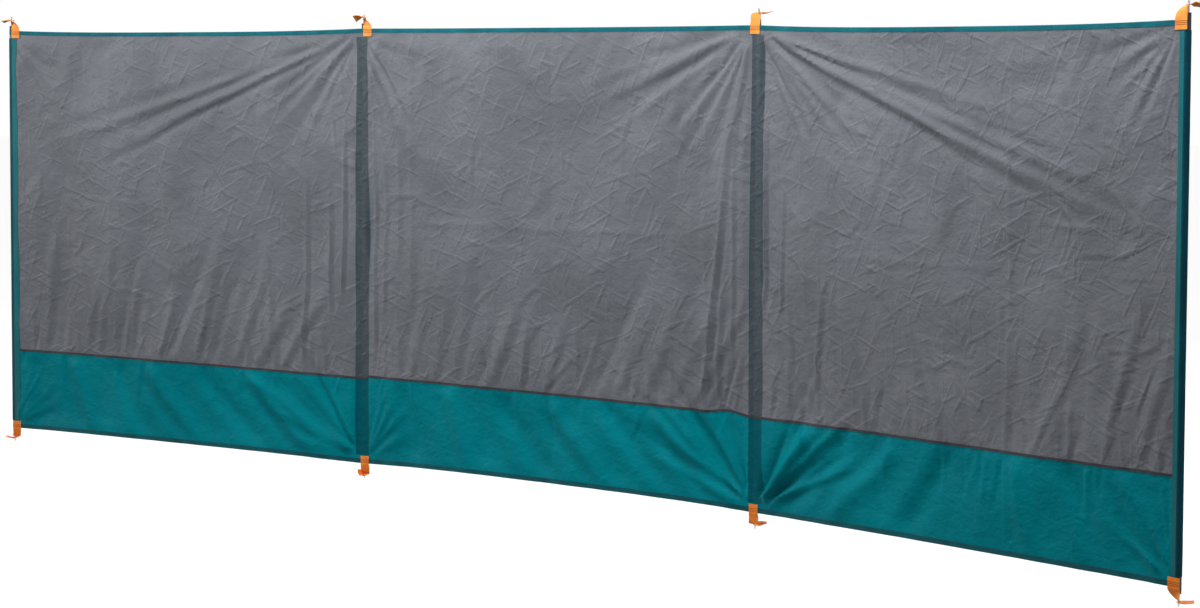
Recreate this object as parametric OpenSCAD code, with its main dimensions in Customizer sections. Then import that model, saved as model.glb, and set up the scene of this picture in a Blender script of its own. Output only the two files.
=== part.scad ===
// Beach windbreak: three bays of taut fabric on four poles, pinned in the ground.
// Front is -Y. The middle bay lies along X, and the origin is at the foot of the second pole.

/* [Bays] */
// Distance between two neighbouring poles
bay_w = 1533; // [900:1:2000]
// How far the left bay turns forward from the middle bay, in degrees
left_bend = 5.5; // [0:0.5:25]
// How far the right bay turns forward from the middle bay, in degrees
right_bend = 10.5; // [0:0.5:25]

/* [Fabric] */
// Height of the fabric, from its bottom edge to its top edge
fabric_h = 1300; // [900:1:1700]
// Height of the middle of the seam above the fabric's bottom edge
seam_h = 257; // [150:1:400]
// Thickness of one layer of fabric, as a stiff sheet
panel_t = 1.5; // [1:0.1:2]
// Thickness where the fabric is folded or taped
folded_t = 2.4; // [2.2:0.1:3]
// Height of the binding along the top edge
binding_h = 13; // [8:1:20]
// Height of the hem along the bottom edge
hem_h = 14; // [8:1:20]
// Height of the tape that covers the seam
tape_h = 6; // [4:1:12]
// Hairline between two pieces of fabric that lie edge to edge or back to back
fabric_gap = 0.1; // [0.05:0.05:0.3]

/* [Poles] */
// Diameter of a pole
pole_d = 13; // [10:0.5:20]
// Wall thickness of a pole's tube
pole_wall = 1; // [0.6:0.1:2]
// How far a pole stands past the fabric's edge at each end
pole_past = 15; // [5:1:30]
// Diameter of the steel pin in each end of a pole
pin_d = 5; // [4:0.5:7]
// Length of a pin outside its pole
pin_l = 30; // [25:1:60]
// Length of the plug that holds a pin in the end of its pole
plug_l = 20; // [10:1:50]

/* [Sleeves] */
// Air between a pole and its sleeve
sleeve_gap = 0.3; // [0.2:0.1:1]
// How far a sleeve stops short of the fabric's edge at each end
sleeve_inset = 25; // [18:1:60]
// Width of the strip that makes a middle pole's sleeve
sleeve_w = 44; // [36:1:80]
// Reach of an end pole's sleeve, from the pole's axis to its inner edge
end_sleeve_w = 26; // [20:1:60]

/* [Tabs] */
// Width of the webbing
strap_w = 38; // [30:1:50]
// Thickness of the webbing
strap_t = 1.8; // [1.2:0.1:2.5]
// Length of webbing sewn on the fabric
strap_sewn = 24; // [15:1:40]
// Height of the webbing past the fabric's edge, where the pin goes through it
strap_rise = 34; // [30:1:42]
// Reach of the webbing's free end, from the pin's axis
strap_tail = 45; // [25:1:60]
// Whether each pole's free ends point back, and not outward
tail_back = [false, false, true, false];
// Diameter of the punched hole that the pin goes through
eyelet_d = 8; // [8:0.5:12]
// Gap between a tab's sewn end and the mitre where two bays meet
tab_gap = 1; // [0.5:0.5:5]

/* [Hidden] */
$fn = 96;
bore_r = pole_d / 2 + sleeve_gap;
fabric_y = bore_r + folded_t / 2;       // the fabric's mid-plane lies this far in front of the poles' axes
panel_front = fabric_y + panel_t / 2;
panel_back = fabric_y - panel_t / 2;
flap_front = panel_back - fabric_gap;
folded_front = fabric_y + folded_t / 2;
bottom_z = pole_past;
top_z = bottom_z + fabric_h;
seam_z = bottom_z + seam_h;
pole_l = fabric_h + 2 * pole_past;
sleeve_z = bottom_z + sleeve_inset;
sleeve_l = fabric_h - 2 * sleeve_inset;
slab = sleeve_w;                        // a cutting block larger than a sleeve's section

// each bay's turn, about the middle bay's left or right pole
bay_turn = [left_bend, 0, -right_bend];
hinge_x = [0, 0, bay_w];
first_x = [-bay_w, 0, 0];
// the bend at each pole; bay i lies between poles i and i + 1
bend_at = [0, left_bend, right_bend, 0];
// each pole's bay, and its place along that bay
pole_bay = [0, 1, 1, 2];
pole_x = [0, 0, bay_w, bay_w];

// a bay's own place, with X from its left pole to its right one
module in_bay(i)
translate([hinge_x[i], 0, 0]) rotate(bay_turn[i]) translate([first_x[i], 0, 0]) children();

// a pole's own place, with +X from the pole towards the fabric that its tabs are sewn on
module at_pole(p)
in_bay(pole_bay[p]) translate([pole_x[p], 0, 0]) mirror([pole_x[p] > 0 ? 1 : 0, 0, 0]) children();

// a stretch of fabric from pole to pole, mitred where two bays meet
module strip(i, front, back, low, high, end_inset = 0) {
    from = i == 0 ? end_inset : fabric_gap / 2;
    to = bay_w - (i == 2 ? end_inset : fabric_gap / 2);
    in_left = tan(bend_at[i] / 2);
    in_right = tan(bend_at[i + 1] / 2);
    in_bay(i) translate([0, 0, low]) linear_extrude(high - low) polygon([
        [from + front * in_left, -front],
        [to - front * in_right, -front],
        [to - back * in_right, -back],
        [from + back * in_left, -back]
    ]);
}

// room for the sleeve of an end pole
module end_notch(p) at_pole(p)
translate([-1, -2 * fabric_y, sleeve_z - fabric_gap])
    cube([1 + end_sleeve_w + fabric_gap, 2 * fabric_y, sleeve_l + 2 * fabric_gap]);

module panel(i, low, high) difference() {
    strip(i, panel_front, panel_back, low, high);
    if (i == 0) end_notch(0);
    if (i == 2) end_notch(3);
}

module upper_panel(i) color("#78787d") panel(i, seam_z + tape_h / 2, top_z - binding_h);

module lower_band(i) color("#006a73") panel(i, bottom_z + hem_h, seam_z - tape_h / 2);

module top_binding(i) color("#00606b") strip(i, folded_front, bore_r, top_z - binding_h, top_z);

module bottom_hem(i) color("#003c46") strip(i, folded_front, bore_r, bottom_z, bottom_z + hem_h);

// the tape stands proud on the front only, because the middle sleeves lie against the fabric's back
module seam_tape(i) color("#504650")
strip(i, folded_front, panel_back, seam_z - tape_h / 2, seam_z + tape_h / 2, end_sleeve_w + fabric_gap);

// a loop round the end pole, whose flat lap takes the edge of the fabric
module end_sleeve(p) color("#0b5560") at_pole(p)
translate([0, 0, sleeve_z]) linear_extrude(sleeve_l) difference() {
    union() {
        circle(r = folded_front);
        translate([0, -folded_front]) square([end_sleeve_w, folded_t]);
    }
    circle(r = bore_r);
}

// a strip sewn behind the fabric along both edges, with the pole between them
module middle_sleeve(p, left_turn, right_turn) color("#3d5058") in_bay(1)
translate([pole_x[p], 0, sleeve_z]) linear_extrude(sleeve_l) difference() {
    union() {
        circle(r = bore_r + panel_t);
        rotate(left_turn) translate([-sleeve_w / 2, -flap_front]) square([sleeve_w / 2, panel_t]);
        rotate(right_turn) translate([0, -flap_front]) square([sleeve_w / 2, panel_t]);
    }
    circle(r = bore_r);
    rotate(left_turn) translate([-slab, -flap_front - slab]) square(slab);
    rotate(right_turn) translate([0, -flap_front - slab]) square(slab);
}

module pole(p) color("#17171a") at_pole(p) difference() {
    cylinder(h = pole_l, d = pole_d);
    translate([0, 0, -1]) cylinder(h = pole_l + 2, d = pole_d - 2 * pole_wall);
}

// a plug that fills the end of the tube, with the pin standing out of it; z is 0 at the tube's end
module plugged_pin() {
    translate([0, 0, -plug_l]) cylinder(h = plug_l, d = pole_d - 2 * pole_wall);
    cylinder(h = pin_l, d = pin_d);
}

module top_pin(p) color("#b9bdc2") at_pole(p) translate([0, 0, pole_l]) plugged_pin();

module ground_spike(p) color("#b9bdc2") at_pole(p) mirror([0, 0, 1]) plugged_pin();

// webbing sewn on the front beside the pole, that leans over the pole's end and turns back over the pin;
// z is 0 at the fabric's edge
module tab(bend, back) {
    over = strap_rise + strap_t;
    half = strap_w / 2;
    left = back ? half : strap_tail;
    behind = back ? strap_tail : half;
    from = (folded_front + strap_t) * tan(bend / 2) + tab_gap;
    difference() {
        union() {
            translate([0, -folded_front, 0]) rotate([90, 0, 0]) linear_extrude(strap_t) polygon([
                [from, -strap_sewn], [from + strap_w, -strap_sewn], [from + strap_w, 0],
                [half, over], [-half, over], [from, 0]
            ]);
            translate([-left, -folded_front - strap_t, strap_rise])
                cube([left + half, folded_front + strap_t + behind, strap_t]);
        }
        cylinder(h = over + 1, d = eyelet_d);
    }
}

module top_tab(p) color("#ffab4a") at_pole(p)
translate([0, 0, top_z]) tab(bend_at[p], tail_back[p]);

module bottom_tab(p) color("#e6762a") at_pole(p)
translate([0, 0, bottom_z]) mirror([0, 0, 1]) tab(bend_at[p], tail_back[p]);

bay_names = ["left", "middle", "right"];
for (i = [0:2]) {
    upper_panel(i);
    lower_band(i);
    top_binding(i);
    bottom_hem(i);
    seam_tape(i);
}
end_sleeve(0);  // left_end_sleeve
middle_sleeve(1, left_bend, 0);  // left_middle_sleeve
middle_sleeve(2, 0, -right_bend);  // right_middle_sleeve
end_sleeve(3);  // right_end_sleeve
for (p = [0:3]) {
    pole(p);
    top_pin(p);
    ground_spike(p);
    top_tab(p);
    bottom_tab(p);
}
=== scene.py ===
# Beach windbreak: three bays of taut two-tone cloth on four slim poles, with webbing tabs over steel pins.
import math

import bpy
import numpy as np
from mathutils import Matrix, Vector


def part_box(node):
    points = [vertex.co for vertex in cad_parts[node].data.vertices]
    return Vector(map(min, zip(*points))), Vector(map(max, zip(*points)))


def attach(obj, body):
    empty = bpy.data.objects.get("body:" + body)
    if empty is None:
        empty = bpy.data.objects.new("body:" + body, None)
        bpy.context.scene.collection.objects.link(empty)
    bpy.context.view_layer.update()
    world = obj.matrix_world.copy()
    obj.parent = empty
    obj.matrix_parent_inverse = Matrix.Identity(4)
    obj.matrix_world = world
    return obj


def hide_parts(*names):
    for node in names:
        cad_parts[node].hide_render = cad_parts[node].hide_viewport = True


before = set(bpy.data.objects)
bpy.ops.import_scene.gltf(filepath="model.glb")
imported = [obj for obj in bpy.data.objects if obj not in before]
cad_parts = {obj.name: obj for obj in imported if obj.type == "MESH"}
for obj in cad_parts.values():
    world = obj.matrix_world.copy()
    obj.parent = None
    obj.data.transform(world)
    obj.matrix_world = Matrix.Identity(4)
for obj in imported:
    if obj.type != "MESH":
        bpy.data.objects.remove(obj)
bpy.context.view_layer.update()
print("frame loaded:", len(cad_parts), "nodes")

# ---- camera: made first, at a standing person's chest height, off the right end
cameraSet = {
    "location": (7.043, -6.543, 1.194),
    "yaw": 42.90,       # degrees, anticlockwise from +Y
    "pitch": 4.16,      # degrees, downwards
    "roll": 0.23,
    "lens": 96.4,
    "sensor": 36.0,
}


def makeCamera(s):
    yaw, pitch, roll = (math.radians(s[k]) for k in ("yaw", "pitch", "roll"))
    ahead = Vector((-math.sin(yaw) * math.cos(pitch), math.cos(yaw) * math.cos(pitch), -math.sin(pitch)))
    right = Vector((math.cos(yaw), math.sin(yaw), 0))
    up = right.cross(ahead)
    right, up = (right * math.cos(roll) + up * math.sin(roll), up * math.cos(roll) - right * math.sin(roll))
    data = bpy.data.cameras.new("camera")
    data.lens, data.sensor_width = s["lens"], s["sensor"]
    data.clip_end = 200
    holder = bpy.data.objects.new("camera", data)
    bpy.context.scene.collection.objects.link(holder)
    turn = Matrix((right, up, -ahead)).transposed().to_4x4()
    holder.matrix_world = Matrix.Translation(s["location"]) @ turn
    bpy.context.scene.camera = holder


makeCamera(cameraSet)
bpy.context.scene.view_settings.view_transform = "Standard"

# ---- layout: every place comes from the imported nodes
poleCount = 4
bayNames = ("left", "middle", "right")


def poleAxis(number):
    low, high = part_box(f"ground_spike_{number}")
    return np.array([(low.x + high.x) / 2, (low.y + high.y) / 2])


poles = [poleAxis(n + 1) for n in range(poleCount)]
fabricLow, hemTop = (corner.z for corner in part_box("middle_bottom_hem"))
bindingLow, fabricTop = (corner.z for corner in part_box("middle_top_binding"))
tapeLow, tapeTop = (corner.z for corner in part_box("middle_seam_tape"))
sleeveLow, sleeveTop = (corner.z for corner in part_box("left_middle_sleeve"))
poleFoot, poleTop = (corner.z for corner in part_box("pole_2"))
spikeTip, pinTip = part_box("ground_spike_2")[0].z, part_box("top_pin_2")[1].z
poleRadius = (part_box("pole_2")[1].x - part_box("pole_2")[0].x) / 2
fabricFront = -(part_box("middle_upper_panel")[0].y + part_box("middle_upper_panel")[1].y) / 2
seamHeight = (tapeLow + tapeTop) / 2


def unit(v):
    return v / np.linalg.norm(v)


bays = []
for index, bayName in enumerate(bayNames):
    run = unit(poles[index + 1] - poles[index])
    bays.append({
        "name": bayName,
        "start": poles[index],
        "run": run,
        "width": float(np.linalg.norm(poles[index + 1] - poles[index])),
        "front": np.array([run[1], -run[0]]),
    })
for index, bay in enumerate(bays):
    bay["leftFront"] = unit(bay["front"] + bays[max(index - 1, 0)]["front"])
    bay["rightFront"] = unit(bay["front"] + bays[min(index + 1, 2)]["front"])

# ---- the cloth's shape, shared by every piece sewn to it


def ease(x, low, high):
    t = np.clip((x - low) / (high - low), 0, 1)
    return t * t * (3 - 2 * t)


def scatter(ix, iy, seed):
    # a whole number for each lattice point, the same on every run
    h = (ix * 374761393 + iy * 668265263 + seed * 97471) & 0x7FFFFFFF
    return ((h ^ (h >> 13)) * 1274126177) & 0x7FFFFFFF


def latticeOf(x, y):
    x0, y0 = np.floor(x).astype(np.int64), np.floor(y).astype(np.int64)
    return x0, y0, x - x0, y - y0


def waves(x, y, seed):
    # smooth lattice noise from about -1 to 1
    x0, y0, fx, fy = latticeOf(x, y)

    def pull(ix, iy, dx, dy):
        turn = (scatter(ix, iy, seed) % 4096) * (2 * math.pi / 4096)
        return np.cos(turn) * dx + np.sin(turn) * dy

    sx, sy = fx * fx * fx * (fx * (fx * 6 - 15) + 10), fy * fy * fy * (fy * (fy * 6 - 15) + 10)
    low = pull(x0, y0, fx, fy) * (1 - sx) + pull(x0 + 1, y0, fx - 1, fy) * sx
    high = pull(x0, y0 + 1, fx, fy - 1) * (1 - sx) + pull(x0 + 1, y0 + 1, fx - 1, fy - 1) * sx
    return (low * (1 - sy) + high * sy) * 1.5


def facets(x, y, seed):
    # flat triangles between random heights from -1 to 1, as in cloth that has been crushed
    warp = waves(x * 0.45, y * 0.45, seed + 1) * 0.8
    x0, y0, fx, fy = latticeOf(x + warp, y - warp)
    at = [[(scatter(x0 + i, y0 + j, seed) % 2048) / 1024 - 1 for j in (0, 1)] for i in (0, 1)]
    (h00, h01), (h10, h11) = at
    below = np.where(
        fx > fy,
        h00 + (h10 - h00) * fx + (h11 - h10) * fy,
        h00 + (h11 - h01) * fx + (h01 - h00) * fy,
    )
    above = np.where(
        fx + fy < 1,
        h00 + (h10 - h00) * fx + (h01 - h00) * fy,
        h11 + (h01 - h11) * (1 - fx) + (h10 - h11) * (1 - fy),
    )
    return np.where(scatter(x0, y0, seed + 2) % 2 == 0, below, above)


clothSet = {
    "topSag": (0.008, 0.002, 0.010),      # how far the top edge hangs in the middle of each bay
    "bottomRise": (0.004, 0.010, 0.003),
    "swell": 0.0060,           # broad slack waves
    "facet": 0.0032,           # crushed facets, strongest in the upper middle
    "pucker": 0.0007,          # small gathers along the seam and the edges
    "relief": 1.35,            # multiplies all the folds
    "deepest": -0.020,         # no fold goes further back than this
    "calm": (0.012, 0.042),    # a sleeve holds the cloth still up to here, and lets it go from here
    "calmTab": (0.030, 0.070),
    "mitre": 0.03,             # the cloth turns into the next bay's plane this close to a pole
    "step": 0.007,             # the outer bays' seams meet the middle one's this much lower
    "hump": 0.008,             # the seam rides up just left of the third pole
}
corner = 0.012                 # the tension folds run to a point this far in from both edges

# tension folds from a corner: (bay, corner along 0 or 1, corner height 0 or 1, lowest angle, highest angle,
# how many, reach, height of the fold, width of the fold)
fans = [
    (0, 1, 1, 12, 21, 5, 1.75, 0.0062, 0.016),
    (0, 1, 1, 24, 60, 6, 0.60, 0.0036, 0.014),
    (0, 0, 1, 10, 78, 7, 0.35, 0.0020, 0.012),
    (0, 1, 0, 12, 62, 9, 0.60, 0.0046, 0.015),
    (0, 0, 0, 15, 72, 6, 0.30, 0.0026, 0.012),
    (1, 1, 1, 12, 30, 6, 0.80, 0.0044, 0.015),
    (1, 1, 1, 40, 86, 8, 0.60, 0.0040, 0.014),
    (1, 0, 1, 48, 86, 8, 0.50, 0.0034, 0.013),
    (1, 0, 1, 8, 44, 5, 0.32, 0.0020, 0.012),
    (1, 1, 0, 14, 66, 10, 0.70, 0.0052, 0.016),
    (1, 0, 0, 20, 76, 6, 0.32, 0.0032, 0.013),
    (2, 0, 1, 11, 21, 6, 1.75, 0.0050, 0.016),
    (2, 0, 1, 27, 62, 6, 0.60, 0.0040, 0.014),
    (2, 1, 1, 10, 80, 8, 0.40, 0.0028, 0.012),
    (2, 0, 0, 14, 62, 10, 0.66, 0.0052, 0.016),
    (2, 1, 0, 20, 82, 7, 0.36, 0.0034, 0.013),
]

# upright pleats: (bay, along, low, high, lean, height, width)
pleats = [
    (0, 1.300, 0.28, 0.98, 0.015, 0.00434, 0.008),
    (0, 1.175, 0.28, 0.72, -0.035, 0.002976, 0.012),
    (0, 1.455, 0.50, 1.12, 0.014, 0.00465, 0.007),
    (0, 1.410, 0.45, 0.95, -0.010, 0.0031, 0.010),
    (1, 1.350, 0.28, 1.08, 0.105, 0.00527, 0.010),
    (1, 1.395, 0.28, 0.70, 0.030, 0.002852, 0.010),
    (1, 1.455, 0.40, 1.16, 0.012, 0.00248, 0.008),
    (1, 0.060, 0.33, 1.16, -0.012, 0.0031, 0.008),
    (1, 0.095, 0.45, 1.05, 0.006, 0.002108, 0.009),
    (1, 0.150, 0.60, 1.22, 0.030, 0.002108, 0.013),
    (2, 0.046, 0.55, 1.16, -0.004, 0.00496, 0.007),
    (2, 0.115, 0.55, 0.98, 0.004, 0.0031, 0.008),
    (2, 0.240, 0.34, 0.72, 0.050, 0.00465, 0.010),
    (2, 0.145, 0.29, 0.66, -0.008, 0.002852, 0.008),
]

# broad soft folds that rise from the seam: (bay, from, to, lean at each end, how many)
risers = [
    (0, 0.10, 1.22, 0.10, 0.55, 13),
    (1, 0.16, 1.36, 0.20, 0.65, 13),
    (2, 0.16, 0.86, -0.60, -0.20, 8),
    (2, 0.92, 1.44, 0.15, 0.40, 6),
]

# soft slanting folds across the lower band: (bay, along the seam, shift towards the hem, height, width)
bandFolds = [
    (0, 0.12, 0.05, -0.0051, 0.040),
    (0, 0.26, 0.13, 0.006, 0.030),
    (0, 0.47, 0.17, -0.0054, 0.034),
    (0, 0.62, 0.22, 0.0063, 0.028),
    (0, 0.84, 0.27, -0.006, 0.030),
    (0, 1.04, 0.32, 0.0069, 0.024),
    (0, 1.20, 0.30, -0.0057, 0.026),
    (1, 0.16, 0.06, -0.0048, 0.036),
    (1, 0.34, 0.12, 0.0054, 0.030),
    (1, 0.56, 0.20, -0.006, 0.034),
    (1, 0.76, 0.24, 0.0066, 0.028),
    (1, 0.96, 0.30, -0.0063, 0.030),
    (1, 1.14, 0.33, 0.0072, 0.024),
    (1, 1.30, 0.22, -0.0054, 0.024),
    (2, 0.24, -0.22, 0.0066, 0.024),
    (2, 0.40, -0.26, -0.006, 0.028),
    (2, 0.58, -0.26, 0.0063, 0.028),
    (2, 0.78, -0.18, -0.0051, 0.034),
    (2, 0.98, 0.08, 0.0051, 0.034),
    (2, 1.16, 0.14, -0.0054, 0.032),
    (2, 1.34, 0.14, 0.0054, 0.026),
]

# creases left by folding it away: (bay, along or None, height or None, from, to, height of the crease)
foldedAway = [
    (0, 0.46, None, 0.28, 1.28, 0.0014),
    (0, 1.10, None, 0.28, 1.28, -0.0013),
    (1, 0.215, None, 0.03, 1.30, 0.0024),
    (1, 0.78, None, 0.03, 1.30, -0.0015),
    (1, 1.36, None, 0.28, 1.30, 0.0014),
    (1, None, 0.745, 0.24, 1.25, 0.0017),
    (2, 0.335, None, 0.28, 1.28, -0.0015),
    (2, 0.97, None, 0.03, 1.30, 0.0020),
    (2, None, 0.72, 0.25, 1.20, 0.0009),
]


def foldLine(u, z, start, end, height, width, spread, seed, soft=False):
    # a raised fold from start to end: a crisp crest with a hollow on its lower side, or a soft round one
    start, end = np.array(start), np.array(end)
    length = np.linalg.norm(end - start)
    along = (end - start) / length
    du, dz = u - start[0], z - start[1]
    t = (du * along[0] + dz * along[1]) / length
    d = dz * along[0] - du * along[1]
    depth = np.zeros_like(u)
    near = (t > 0) & (t < 1) & (np.abs(d) < width * (1 + spread) * 4)
    t, d = t[near], d[near]
    d = d + waves(t * length * 5 + seed, t * 0 + seed * 0.37, seed) * width * 0.6
    across = d / (width * (1 + spread * t))
    crest = np.exp(-across ** 2) if soft else np.exp(-1.6 * (np.sqrt(across ** 2 + 0.06) - 0.245))
    shape = crest - 0.5 * np.exp(-((across + 1.5) / 0.9) ** 2)
    depth[near] = height * shape * ease(t, 0, 0.10) * (1 - ease(t, 0.45, 1.0))
    return depth


def listFolds():
    folds = [[], [], []]
    dice = np.random.default_rng(41)
    for bayIndex, atEnd, atTop, lowest, highest, count, reach, height, width in fans:
        w = bays[bayIndex]["width"]
        start = (w - corner if atEnd else corner, fabricTop - corner if atTop else fabricLow + corner)
        for k in range(count):
            angle = math.radians(lowest + (highest - lowest) * (k + dice.uniform(0.15, 0.85)) / count)
            far = reach * dice.uniform(0.65, 1.0)
            side, rise = (-1 if atEnd else 1), (-1 if atTop else 1)
            end = (start[0] + side * far * math.cos(angle), start[1] + rise * far * math.sin(angle))
            size = height * dice.uniform(0.5, 1.0) * (1 if dice.random() < 0.7 else -0.8)
            broad, spread = width * dice.uniform(0.45, 0.85), dice.uniform(0.9, 2.0)
            folds[bayIndex].append((start, end, size, broad, spread))
    for bayIndex, along, low, high, lean, height, width in pleats:
        folds[bayIndex].append(((along, low), (along + lean, high), height, width, 0.3))
    for bayIndex, first, last, leanFirst, leanLast, count in risers:
        for k in range(count):
            part = (k + dice.uniform(0.2, 0.8)) / count
            start = (first + (last - first) * part, seamHeight + 0.004)
            lean = leanFirst + (leanLast - leanFirst) * part + dice.normal(0, 0.10)
            up = dice.uniform(0.24, 0.52)
            size = dice.uniform(0.0016, 0.0036) * (1 if dice.random() < 0.75 else -1)
            end = (start[0] + up * lean, start[1] + up)
            folds[bayIndex].append((start, end, size, dice.uniform(0.012, 0.019), 0.7, True))
    bandHeight, down = 0.25, 0.46              # drawn on past the hem, so that they don't fade in it
    for bayIndex, along, shift, height, width in bandFolds:
        end = (along + shift * down / bandHeight, seamHeight - down)
        folds[bayIndex].append(((along, seamHeight - 0.004), end, height, width, 0.3, True))
    for bayIndex, bay in enumerate(bays):
        for k in range(40):                    # short gathers that the seam draws up, above it and below it
            along = dice.uniform(0.05, bay["width"] - 0.05)
            lean = dice.normal(0, 0.33)
            up = dice.random() < 0.6
            far = dice.uniform(0.08, 0.26) if up else -dice.uniform(0.05, 0.20)
            start = (along, seamHeight + (0.004 if up else -0.004))
            end = (along + abs(far) * lean, seamHeight + far)
            size = dice.uniform(0.0010, 0.0030) * (1 if dice.random() < 0.6 else -1)
            folds[bayIndex].append((start, end, size, dice.uniform(0.005, 0.010), 0.8))
        for k in range(70):                    # loose straight creases
            start = (dice.uniform(0.08, bay["width"] - 0.08), dice.uniform(0.36, 1.26))
            turn, far = dice.uniform(0, math.pi), dice.uniform(0.05, 0.20)
            end = (start[0] + far * math.cos(turn), start[1] + far * math.sin(turn))
            size, width = dice.uniform(0.0008, 0.0022), dice.uniform(0.004, 0.007)
            folds[bayIndex].append((start, end, size, width, 0.2))
    return folds


bayFolds = listFolds()


def clothDepth(bayIndex, u, z):
    # how far forward the cloth lies at u along its bay and at height z; waves and facets take a scale
    # for each direction, in waves or facets per metre, and a number that picks their pattern
    d = clothSet["swell"] * waves(u * 1.9 + bayIndex * 7, z * 2.1, 11 + bayIndex)
    d = d + clothSet["swell"] * 0.9 * waves(u * 5.2, z * 3.6 + bayIndex * 5, 23)
    for k, fold in enumerate(bayFolds[bayIndex]):
        d = d + foldLine(u, z, *fold[:5], 100 * bayIndex + k, *fold[5:])
    upper = ease(z, seamHeight + 0.25, seamHeight + 0.7) * (0.65 + 0.35 * waves(u * 1.7, z * 1.7, 55))
    band = 1 - ease(z, seamHeight - 0.04, seamHeight + 0.04)
    rough = clothSet["facet"] * (0.35 + 0.65 * upper - 0.17 * band)
    d = d + rough * facets(u * 11 + z * 2.5 + 9 * bayIndex, z * 10 - u * 2.5, 71)
    d = d + rough * 0.36 * facets(u * 27 - z * 7, z * 24 + u * 7 + 5 * bayIndex, 83)
    for crease in foldedAway:
        if crease[0] == bayIndex:
            _, along, height, low, high, size = crease
            across, by = (u - along, z) if along is not None else (z - height, u)
            across = across + waves(by * 2.2, by * 0 + 5, 37) * 0.004
            ridge = np.exp(-np.abs(across) / 0.008) * ease(by, low - 0.02, low + 0.05)
            d = d + size * ridge * (1 - ease(by, high - 0.05, high + 0.02))
    sewn = ((seamHeight, 0.012), (hemTop, 0.012), (bindingLow, 0.010))
    pucker = sum(np.exp(-np.abs(z - row) / reach) for row, reach in sewn)
    d = d + clothSet["pucker"] * pucker * waves(u * 62, z * 9, 91)
    gap = np.minimum(u, bays[bayIndex]["width"] - u)
    edge = np.minimum(fabricTop - z, z - fabricLow)
    hold = ease(gap, *clothSet["calm"]) * (0.30 + 0.70 * ease(edge, 0.0, 0.06))
    tabZone = ease(np.hypot(gap - 0.02, edge), *clothSet["calmTab"])
    return np.maximum(clothSet["relief"] * d * hold * tabZone, clothSet["deepest"]) + 0.0004 * (1 - hold)


def clothSag(bayIndex, u, z):
    w = bays[bayIndex]["width"]
    span = 1 - np.abs(2 * u / w - 1) ** 3
    t = (z - fabricLow) / (fabricTop - fabricLow)
    rise, hang = clothSet["bottomRise"][bayIndex], clothSet["topSag"][bayIndex]
    sag = rise * span * (1 - t) ** 2 - hang * span * t ** 2
    nearSeam = np.exp(-((z - seamHeight) / 0.10) ** 2)
    if bayIndex == 1:
        sag = sag + clothSet["hump"] * np.exp(-((u - w + 0.095) / 0.045) ** 2) * nearSeam
        sag = sag + clothSet["step"] * ease(u, 0.020, 0.030) * np.exp(-u / 0.30) * nearSeam
    return sag


def clothPoints(bayIndex, u, z, *prouds):
    # where the cloth lies, moved forward by proud; two prouds give a front and a back
    bay = bays[bayIndex]
    left, right = ease(u, 0, clothSet["mitre"]), ease(bay["width"] - u, 0, clothSet["mitre"])
    front = [
        bay["leftFront"][k] * (1 - left) + bay["rightFront"][k] * (1 - right)
        + bay["front"][k] * (left + right - 1)
        for k in (0, 1)
    ]
    size = np.hypot(*front)
    depth, height = clothDepth(bayIndex, u, z), z + clothSag(bayIndex, u, z)
    layers = []
    for proud in prouds:
        ahead = fabricFront + depth + proud
        x, y = (bay["start"][k] + bay["run"][k] * u + front[k] / size * ahead for k in (0, 1))
        layers.append(np.stack([x, y, height], -1))
    return layers[0] if len(layers) == 1 else layers


def nearPole(number, x, z, proud):
    # the cloth's surface beside a pole, where x is the distance towards the inner side
    x = x if number < 2 else -x
    if number == 0:
        return clothPoints(0, x, z, proud)
    if number == 3:
        return clothPoints(2, bays[2]["width"] + x, z, proud)
    rightBay = clothPoints(number, np.clip(x, 0, None), z, proud)
    leftBay = clothPoints(number - 1, bays[number - 1]["width"] + np.clip(x, None, 0), z, proud)
    return np.where((x >= 0)[..., None], rightBay, leftBay)


# ---- meshes


def newPiece(name, points, faces, uv=None, extra=None, smoothAngle=50):
    mesh = bpy.data.meshes.new(name)
    mesh.from_pydata(np.asarray(points, float).reshape(-1, 3).tolist(), [], faces)
    mesh.polygons.foreach_set("use_smooth", [True] * len(mesh.polygons))
    if uv is not None:
        layer = mesh.uv_layers.new(name="cloth")
        loops = np.zeros(len(mesh.loops), np.int32)
        mesh.loops.foreach_get("vertex_index", loops)
        layer.data.foreach_set("uv", np.asarray(uv, np.float32).reshape(-1, 2)[loops].ravel())
    for label, values in (extra or {}).items():
        layer = mesh.attributes.new(label, "FLOAT", "POINT")
        layer.data.foreach_set("value", np.asarray(values, np.float32).ravel())
    mesh.set_sharp_from_angle(angle=math.radians(smoothAngle))
    mesh.update()
    piece = bpy.data.objects.new(name, mesh)
    bpy.context.scene.collection.objects.link(piece)
    return piece


def gridCells(front, back):
    # the points' numbers in a grid, and its cells as quads that face away from the back
    rows, columns = front.shape[:2]
    grid = np.arange(rows * columns).reshape(rows, columns)
    cells = np.stack([grid[:-1, :-1], grid[1:, :-1], grid[1:, 1:], grid[:-1, 1:]], -1)
    normal = np.cross(front[1, 0] - front[0, 0], front[0, 1] - front[0, 0])
    forward = np.dot(normal, front[0, 0] - back[0, 0]) > 0
    return grid, cells if forward else cells[..., ::-1], forward


def twice(first, last):
    return np.concatenate([first.reshape(-1, first.shape[-1]), last.reshape(-1, last.shape[-1])])


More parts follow.
